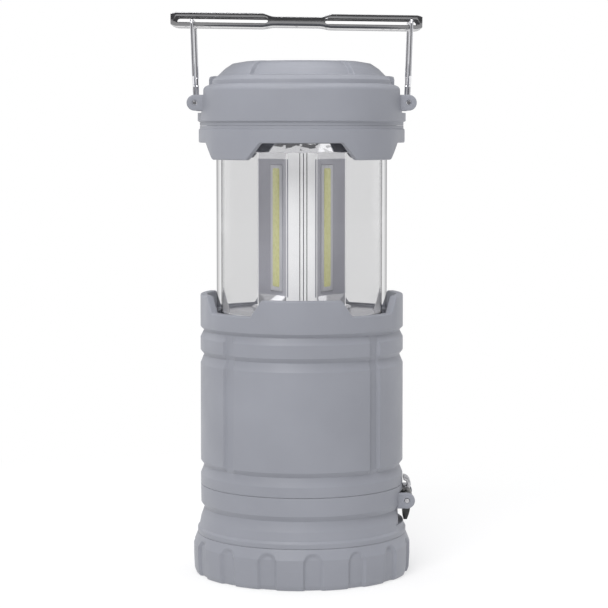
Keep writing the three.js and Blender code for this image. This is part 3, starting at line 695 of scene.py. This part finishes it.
def build_led_post():
    stations = [
        (POST_LOW, 0), (BAY_LOW - BAY_SLOPE, 0), (BAY_LOW, 1),
        (BAY_TOP, 1), (BAY_TOP + BAY_SLOPE, 0), (POST_TOP, 0),
    ]
    loops = [[(x, y, z) for x, y in post_section(sink)] for z, sink in stations]
    piece = loft("led_post_reflector", loops, MIRROR, smooth_angle=20)
    tools = [prism("cavity", hexagon(CAVITY_SIDE, CAVITY_CORNER), POST_LOW - 1, 171.5, "z", MIRROR)]
    half = BOARD_HALF + 0.15
    slot_low, slot_high = low("led_board_1")[2] + 0.85, high("led_board_1")[2] - 0.85
    for bay in BAYS:
        slot = prism("board_slot", rectangle(10, 13, -half, half), slot_low, slot_high, "z", MIRROR)
        turn(slot, bay)
        tools.append(slot)
    boolean(piece, tools)
    flanges = []
    for start, end in ((POST_LOW, POST_LOW + 1.8), (POST_TOP - 2, POST_TOP)):
        flange = fillet([(17.5, start, 0), (20.4, start, 0.4), (20.4, end, 0.4), (17.5, end, 0)])
        flanges.append(revolve("flange", lambda degrees, flange=flange: flange, MIRROR, 120))
    boolean(piece, flanges, "UNION")
    shade_post(piece)
    standing_for(piece, "head", "mirror", "led_post")


def build_led_board(node, bay):
    """A white board with a solder pad at each end of the strip's two tracks."""
    start, end = low(node)[2] + 1, high(node)[2] - 1
    outline = fillet([(y, z, 0.5) for y, z in rectangle(-BOARD_HALF, BOARD_HALF, start, end)])
    board = prism(f"{node}_plate", outline, BOARD_BACK, BOARD_FACE, "x", BOARD)
    pads = []
    for y in (-1.6, 1.6):
        for z in (start + 0.8, end - 0.6):
            outline = rectangle(y - 0.6, y + 0.6, z - 0.45, z + 0.45)
            pads.append(prism("pad", outline, BOARD_FACE - 0.1, BOARD_FACE + 0.07, "x", BOARD))
    boolean(board, pads, "UNION")
    soften(board, 0.05, 2)
    turn(board, bay)
    standing_for(board, "head", "board", node)


def build_led_strip(node, bay):
    """A low bead of phosphor along a board, swelling in from its ends."""
    bead = [(-1, 0), (-0.96, 0.26), (-0.84, 0.4), (0.84, 0.4), (0.96, 0.26), (1, 0)]
    growth = ((0, 0.3, 0.9), (0.5, 0.9, 0.99), (1, 1, 1))
    start, end = low(node)[2], high(node)[2]
    stations = [(start + along, swell, pinch) for along, swell, pinch in growth]
    stations += [(end - along, swell, pinch) for along, swell, pinch in growth[::-1]]
    face = BOARD_FACE + 0.01
    loops = []
    for z, swell, pinch in stations:
        loops.append([(face + up * swell, across * pinch * STRIP_HALF, z) for across, up in bead])
    strip = loft(f"{node}_bead", loops, GLOWING_PHOSPHOR, smooth_angle=60)
    turn(strip, bay)
    standing_for(strip, "head", "phosphor", node)


def build_led_bays():
    for number, bay in enumerate(BAYS, 1):
        build_led_board(f"led_board_{number}", bay)
        build_led_strip(f"led_strip_{number}", bay)


def build_lens_foot():
    """A plate across the foot of the lens, with a snap post at each side."""
    top, plate_low, shoulder, snap_top = 107.3, 105.3, 100.3, 116.5
    profile = fillet([
        (18, FOOT_LOW, 0), (20, FOOT_LOW, 0), (20, plate_low, 0), (31, plate_low, 0), (31, FOOT_LOW, 0),
        (FOOT_R, FOOT_LOW, 0.3), (FOOT_R, shoulder, 0.3), (32.7, shoulder, 0), (32.7, top, 0.4), (18, top, 0),
    ])
    piece = revolve("lens_foot_plate", lambda degrees: profile, MIRROR, columns=180)
    clips = []
    for around in (180, 0):
        outline = fillet([
            (29.2, top - 0.5, 0), (32.5, top - 0.5, 0), (32.5, snap_top, 0.2), (31.9, snap_top, 0.2),
            (30.5, 110.5, 1),
        ])
        clip = prism("clip", outline, -2.2, 2.2, "y", HOUSING)
        soften(clip, 0.2, 2)
        turn(clip, around)
        clips.append(clip)
    boolean(piece, clips, "UNION")
    standing_for(piece, "head", "mirror", "lens_foot")


def build_top_reflector():
    lo, hi = low("top_reflector")[2], high("top_reflector")[2]
    profile = fillet([(20.8, lo + 1.8, 0.3), (31.4, lo, 0.4), (32.6, lo, 0.3), (32.6, hi, 0), (20.8, hi, 0)])
    facets = 36

    def faceted(degrees):
        swell = 0.25 * abs(fold_angle(degrees, facets)) / (180 / facets)
        return [(r, z + (swell if z < hi - 0.5 else 0)) for r, z in profile]

    piece = revolve("top_reflector_dish", faceted, CRUMPLED, columns=216)
    standing_for(piece, "head", "mirror", "top_reflector")


# ---- cap ----
CAP_SEAM_R = 41.6


def skirt_edge(degrees):
    """Lower edge of the cap: four tabs that fill the crown's gaps."""
    off_notch = abs(fold_angle(degrees, 4))
    return NOTCH_TOP - (NOTCH_TOP - SKIRT_LOW) * ramp(off_notch, 23.2, 31.4, 1.0)


def build_cap_skirt():
    """The cap's lower ring, with a ledge inside that holds the lens."""
    inner, ledge, ledge_low, ledge_high = 39.2, TUBE_R + 0.3, 176.9, 179.6

    def profile(degrees):
        edge = skirt_edge(degrees)
        return fillet([
            (inner, edge, 0.4), (SKIRT_R, edge, 0.6), (SKIRT_R, 181.7, 0.2),
            (CAP_SEAM_R, 182.1, 0.15), (CAP_SEAM_R, SKIRT_TOP, 0.1), (inner, SKIRT_TOP, 0),
            (inner, ledge_high, 0), (ledge, ledge_high, 0), (ledge, ledge_low, 0.2), (inner, ledge_low, 0),
        ])

    edges = [quarter + side for quarter in QUARTERS for side in (-27, 27)]
    piece = revolve("cap_skirt_moulded", profile, HOUSING, angles=dense_angles(1.5, edges, 6, 0.25))
    standing_for(piece, "head", "housing", "cap_skirt")


DOME_CORNERS = [
    (CAP_SEAM_R, DOME_LOW, 0.1), (CAP_SEAM_R, 184.7, 0.2), (DOME_R, 185.2, 0.2), (DOME_R, 198.8, 2.2),
    (39.2, 200.0, 0.3), (39.0, 201.7, 0.8), (37.4, 203.2, 1.2), (34.4, 203.4, 0.4), (31.5, 206.3, 3.0),
    (28.2, 208.5, 2.0), (23.0, DOME_TOP, 3.5),
]
RECESS_DEPTH = 2.5
DOME_INNER = [
    (0.01, DOME_TOP), (0.01, DOME_TOP - RECESS_DEPTH), (20.5, DOME_TOP - RECESS_DEPTH), (26.5, 204.2),
    (30, 200.8), (34.8, 199.6), (37.2, 196.4), (38.6, 194), (38.6, 188), (36.2, 187),
    (36.2, DOME_INSIDE), (38.8, DOME_INSIDE), (38.8, DOME_LOW),
]
# where a leg of a wire link passes the shoulder as the handle folds
LEG_NOTCH = [(39.4, 195.6), (38.1, 197.3), (36.2, 199.8), (34.2, 202.8), (34.2, 207), (49, 207), (49, 195.6)]


def recess_depth(r, z, degrees):
    """Depth of the sloping panels sunk in the front and back of the dome, wider towards its middle."""
    off_front = abs(fold_angle(degrees, 2, 90))
    reach = ramp(z, 203.45, 203.7, 0.1) * ramp(r, 21.0, 22.0, 0.2)
    edge = 37.2 + (33.4 - r) * 0.52
    return RECESS_DEPTH * reach * (1 - ramp(off_front, edge, edge + 0.9, 0.2))


def build_cap_dome():
    def parts(start, end):
        r, z = end
        in_recess = z > 203.2 and r > 18
        return max(1, math.ceil(math.hypot(r - start[0], z - start[1]) / 0.4)) if in_recess else 1

    outer = subdivided(fillet([*DOME_CORNERS, (0.01, DOME_TOP, 0), (0.01, DOME_LOW, 0)], 6)[:-2], parts)

    def profile(degrees):
        return [(r - recess_depth(r, z, degrees), z) for r, z in outer] + DOME_INNER

    edges = [front + side for front in (90, 270) for side in (-40.5, 40.5)]
    piece = revolve("cap_dome_moulded", profile, HOUSING, angles=dense_angles(1.0, edges, 4, 0.25))
    pocket_low = LINK_PIVOT[2] - 4
    outline = [(39.4, pocket_low), (49, pocket_low), (49, 204), (37.4, 204), (37.4, 199.1), (39.4, 196)]
    tools = []
    for around in (0, 180):
        cuts = [prism("recess", outline, -13.1, 13.1, "y", HOUSING)]
        cuts += [prism("notch", LEG_NOTCH, y, y + 4.7, "y", HOUSING) for y in (-15.6, 10.9)]
        for cut in cuts:
            turn(cut, around)
            tools.append(cut)
    boolean(piece, tools)
    ears(piece, LINK_PIVOT[0], LINK_PIVOT[2], 38, 13.1, 15.1, 0.98, both_sides=True)
    standing_for(piece, "head", "housing", "cap_dome")


# ---- handle ----
WIRE_R = 0.7
LEAN = 1.1
END_Y, EAR_LEG_Y, LEG_Y = 15.3, 12.0, 14.2
JOG_LOW, JOG_HIGH = 7.0, 10.2


def leg_path(side, top):
    """One leg of a wire link about its pivot: end in the ear, jog outwards, straight up."""
    def at(y, z, bend):
        return (Vector((LEAN * z / top, side * y, z)), bend)

    return [at(END_Y, 0, 0), at(EAR_LEG_Y, 0, 1.2), at(EAR_LEG_Y, JOG_LOW, 1.8), at(LEG_Y, JOG_HIGH, 1.8)]


def build_links():
    top = (low("left_link_cross")[2] + high("left_link_cross")[2]) / 2 - LINK_PIVOT[2]
    for name, side, body, nodes in (
        ("right_link_wire", 1, "right_link", ["right_link"]),
        ("left_link_wire", -1, "left_link", ["left_link_front_leg", "left_link_back_leg", "left_link_cross"]),
    ):
        corners = [(Vector((LEAN, y * LEG_Y, top)), 1.6) for y in (-1, 1)]
        path = leg_path(-1, top) + corners + leg_path(1, top)[::-1]
        piece = tube(name, path, WIRE_R, CHROME)
        about = Matrix.Rotation(0 if side > 0 else math.pi, 4, "Z")
        shift = Matrix.Translation(Vector((side * LINK_PIVOT[0], 0, LINK_PIVOT[2])) * MM)
        piece.data.transform(shift @ about)
        standing_for(piece, body, "wire_chrome", *nodes)


BAR_TILT = 0.8
BAR_WALL, BAR_BEND = 0.9, 1.7
WAIST_EDGE = (9.8, 13.6)
SLOT_NEAR, SLOT_FAR, SLOT_HALF = 12.6, 48.1, 1.2


def bar_section(bottom, top):
    half, wall, bend = BAR_HALF_DEPTH, BAR_WALL, BAR_BEND
    return fillet([
        (-half, top, 0.3), (-half, bottom, bend), (half, bottom, bend), (half, top, 0.3),
        (half - wall, top, 0.3), (half - wall, bottom + wall, bend - wall),
        (-half + wall, bottom + wall, bend - wall), (-half + wall, top, 0.3),
    ])


def build_handle_bar():
    """A pressed channel: rounded web below, two sides above it, slots and small holes."""
    middle_x, middle_z = (BAR_LEFT + BAR_RIGHT) / 2 + 0.3, (BAR_LOW + BAR_TOP) / 2
    half_length = (BAR_RIGHT - BAR_LEFT) / 2 - 0.9
    stations = [-half_length, -half_length + 0.25, -half_length + 0.8]
    stations += [-half_length + 2 + k * (2 * half_length - 4) / 130 for k in range(131)]
    stations += [half_length - 0.8, half_length - 0.25, half_length]
    loops = []
    for x in stations:
        waist = 1 - ramp(abs(x), *WAIST_EDGE, 0.9)
        end = 1 - ramp(abs(x), half_length - 1.4, half_length, 0.5)
        pinch = 0.7 * (1 - end)
        section = bar_section(BAR_LOW + 0.7 * waist + pinch, BAR_TOP - 1.3 * waist - pinch)
        loops.append([(middle_x + x, y, z) for y, z in section])
    piece = loft("handle_bar_pressed", loops, DARK_CHROME, smooth_angle=40)
    tools = []
    for side in (-1, 1):
        left, right = sorted((middle_x + side * SLOT_NEAR, middle_x + side * SLOT_FAR))
        outline = arc(right, middle_z, SLOT_HALF, -90, 90, 15) + arc(left, middle_z, SLOT_HALF, 90, 270, 15)
        tools.append(prism("slot", outline, -BAR_HALF_DEPTH - 2, BAR_HALF_DEPTH + 2, "y", DARK_CHROME))
    spots = [side * (half_length - 6 - 3.2 * k) for side in (-1, 1) for k in range(4)] + [-12, 0, 12]
    for x in spots:
        for y in (-7.5, 7.5):
            outline = circle(middle_x + x, y, 0.55, 16)
            tools.append(prism("hole", outline, BAR_LOW - 1, BAR_LOW + 3, "z", DARK_CHROME))
    boolean(piece, tools)
    soften(piece, 0.22, 2, 50, 40)
    centre = Vector((middle_x, 0, middle_z)) * MM
    askew = Matrix.Rotation(math.radians(BAR_TILT), 4, "Y")
    piece.data.transform(Matrix.Translation(centre) @ askew @ Matrix.Translation(-centre))
    standing_for(piece, "bar", "dark_chrome", "handle_bar")


# ---- hook ----
def build_hook():
    x, z = HOOK_PIN_X, HOOK_PIN_Z
    barrel = prism("base_hook_steel", circle(x, z, 2.7, 40), -10.9, 10.9, "y", HOOK_STEEL)
    side_view = fillet([
        (x - 1.5, z - 1.6, 0), (x + 1.6, z - 1.6, 0), (x + 1.45, z - 5, 3),
        (x + 0.4, z - 9.2, 0.4), (x - 1.1, z - 9.2, 0.3), (x - 1.4, z - 5, 3),
    ])
    boolean(barrel, [prism("blade", side_view, -6.5, 6.5, "y", HOOK_STEEL)], "UNION")
    entry = [(1.4, z - 5.9), (8, z - 6.4), (8, z - 3.4), (1.4, z - 3.9)]
    corner = [(-8, z - 10), (-3.6, z - 10), (-6.5, z - 6.5), (-8, z - 6)]
    boolean(barrel, [
        prism("bore", circle(x, z, 1.1, 28), -12, 12, "y", HOOK_STEEL),
        prism("mouth", circle(1.4, z - 5.2, 2.4, 36), x - 6, x + 6, "x", HOOK_STEEL),
        prism("entry", entry, x - 6, x + 6, "x", HOOK_STEEL),
        prism("corner", corner, x - 6, x + 6, "x", HOOK_STEEL),
    ])
    soften(barrel, 0.25, 3, 40, 40)
    standing_for(barrel, "hook", "dark_chrome", "base_hook")


def build_hook_clip():
    """A strip that stands up from its root and curls over outwards."""
    lo, hi = low("hook_clip"), high("hook_clip")
    x, z, outer, inner = lo[0], lo[2] + 1.8, 3.0, 1.5
    curl = arc(x, z, outer, -36, 90, 9) + arc(x, z, inner, 90, -30, -10)
    outline = [(x, lo[2]), (x + 2.1, lo[2]), *curl, (x, lo[2] + 0.7)]
    clip = prism("hook_clip_curled", outline, lo[1], hi[1], "y", STEEL)
    soften(clip, 0.18, 2, 50, 40)
    standing_for(clip, "base", "wire_chrome", "hook_clip")


# ---- inner CAD parts keep their shape and get a finish ----
INNER_FINISH = {
    "battery_cage": BLACK, "contact_strip_positive": BRASS, "contact_strip_negative": BRASS,
    "positive_rail": NICKEL, "positive_lead": WIRE_SKIN, "neck_contact": BRASS, "hook_pin": STEEL,
    "cover_contact": NICKEL, "cover_seal": RUBBER, "foot_contact_right": BRASS,
    "foot_contact_left": BRASS, "cap_seal": RUBBER, "driver_board": CIRCUIT,
}
for stem, finish, count in (
    ("cell", CELL_SKIN, 3), ("top_contact", NICKEL, 3), ("housing_screw", STEEL, 3), ("cage_screw", STEEL, 3),
    ("cell_spring", NICKEL, 3), ("cap_screw", STEEL, 4),
):
    INNER_FINISH.update({f"{stem}_{i}": finish for i in range(1, count + 1)})


def finish_inner_parts():
    for node, finish in INNER_FINISH.items():
        for slot in frame["nodes"][node].material_slots:
            slot.material = finish


# ---- stage ----
def area_light(name, place, target, size, power):
    data = bpy.data.lights.new(name, "AREA")
    data.shape = "RECTANGLE"
    data.size, data.size_y = size
    data.energy = power
    light = bpy.data.objects.new(name, data)
    light.location = place
    light.rotation_euler = (Vector(target) - Vector(place)).to_track_quat("-Z", "Y").to_euler()
    bpy.context.scene.collection.objects.link(light)


def build_world():
    """White to the eye; to lamps and mirrors a studio, bright above and behind, darker in front."""
    world = bpy.data.worlds.new("studio")
    bpy.context.scene.world = world
    world.use_nodes = True
    tree = world.node_tree
    links = tree.links
    back = tree.nodes["Background"]
    seen = tree.nodes.new("ShaderNodeBackground")
    seen.inputs["Color"].default_value = (1, 1, 1, 1)
    seen.inputs["Strength"].default_value = 1.0
    place = tree.nodes.new("ShaderNodeTexCoord")
    split = tree.nodes.new("ShaderNodeSeparateXYZ")
    links.new(place.outputs["Generated"], split.inputs["Vector"])
    front = tree.nodes.new("ShaderNodeMapRange")
    front.interpolation_type = "SMOOTHSTEP"
    front.inputs["From Min"].default_value = -0.95
    front.inputs["From Max"].default_value = -0.25
    links.new(split.outputs["Y"], front.inputs["Value"])
    shade = tree.nodes.new("ShaderNodeMix")
    shade.data_type = "RGBA"
    shade.inputs["A"].default_value = (0.30, 0.30, 0.31, 1)
    shade.inputs["B"].default_value = (0.92, 0.92, 0.95, 1)
    links.new(front.outputs["Result"], shade.inputs["Factor"])
    links.new(shade.outputs["Result"], back.inputs["Color"])
    back.inputs["Strength"].default_value = 0.6
    rays = tree.nodes.new("ShaderNodeLightPath")
    mix = tree.nodes.new("ShaderNodeMixShader")
    links.new(rays.outputs["Is Camera Ray"], mix.inputs[0])
    links.new(back.outputs["Background"], mix.inputs[1])
    links.new(seen.outputs["Background"], mix.inputs[2])
    links.new(mix.outputs["Shader"], tree.nodes["World Output"].inputs["Surface"])


def build_floor():
    m = Nodes("floor_pale")
    m.set(Roughness=0.9, Specular_IOR_Level=0.1)
    cloudy = m.blend(m.spread(m.noise(2.0), 0, 1), (0.93, 0.93, 0.93), (0.95, 0.95, 0.95))
    m.link(cloudy, m.shader.inputs["Base Color"])
    place = m.add("ShaderNodeTexCoord")
    reach = m.add("ShaderNodeVectorMath", operation="LENGTH")
    m.link(place.outputs["Object"], reach.inputs[0])
    lit = m.add("ShaderNodeEmission", {"Color": (1, 1, 1, 1), "Strength": 1.0})
    mix = m.add("ShaderNodeMixShader")
    m.link(m.spread(reach.outputs["Value"], 0.55, 1, 0.05, 0.32), mix.inputs[0])
    m.link(m.shader.outputs["BSDF"], mix.inputs[1])
    m.link(lit.outputs["Emission"], mix.inputs[2])
    m.link(mix.outputs["Shader"], m.tree.nodes["Material Output"].inputs["Surface"])
    floor = prism("floor", circle(0, 0, 4000, 64), -20, -0.05, "z", m.material)


def build_stage():
    build_world()
    build_floor()
    area_light("key", (-0.32, -0.92, 0.98), (0, 0, 0.11), (0.6, 0.6), 10.9)
    area_light("fill", (0.75, -0.95, 0.35), (0, 0, 0.11), (0.5, 0.9), 0.8)
    area_light("top", (0.0, 0.1, 1.2), (0, 0, 0.1), (1.0, 1.0), 5.3)
    area_light("back_left", (-0.8, 0.7, 0.5), (0, 0, 0.12), (0.4, 0.9), 1.6)
    area_light("back_right", (0.8, 0.7, 0.5), (0, 0, 0.12), (0.4, 0.9), 1.1)
    bpy.context.scene.view_settings.view_transform = "Standard"


def build_camera():
    """At the height of the cap, looking slightly down at the middle of the lantern."""
    height = high("cap_dome")[2]
    off_axis, distance = 0.94, 870
    eye = Vector((off_axis, -distance, 0.875 * height)) * MM
    aim = Vector((off_axis, 0, 0.607 * height)) * MM
    data = bpy.data.cameras.new("camera")
    data.sensor_width = 36
    data.lens = 125.6
    data.shift_y = -0.068
    data.clip_start = 0.05
    camera = bpy.data.objects.new("camera", data)
    camera.location = eye
    camera.rotation_euler = (aim - eye).to_track_quat("-Z", "Y").to_euler()
    bpy.context.scene.collection.objects.link(camera)
    bpy.context.scene.camera = camera


build_camera()
build_stage()
build_barrel()
build_lower_housing()
build_stop_ring()
build_battery_cover()
build_lens_tube()
build_led_post()
build_led_bays()
build_lens_foot()
build_top_reflector()
build_cap_skirt()
build_cap_dome()
build_links()
build_handle_bar()
build_hook()
build_hook_clip()
finish_inner_parts()
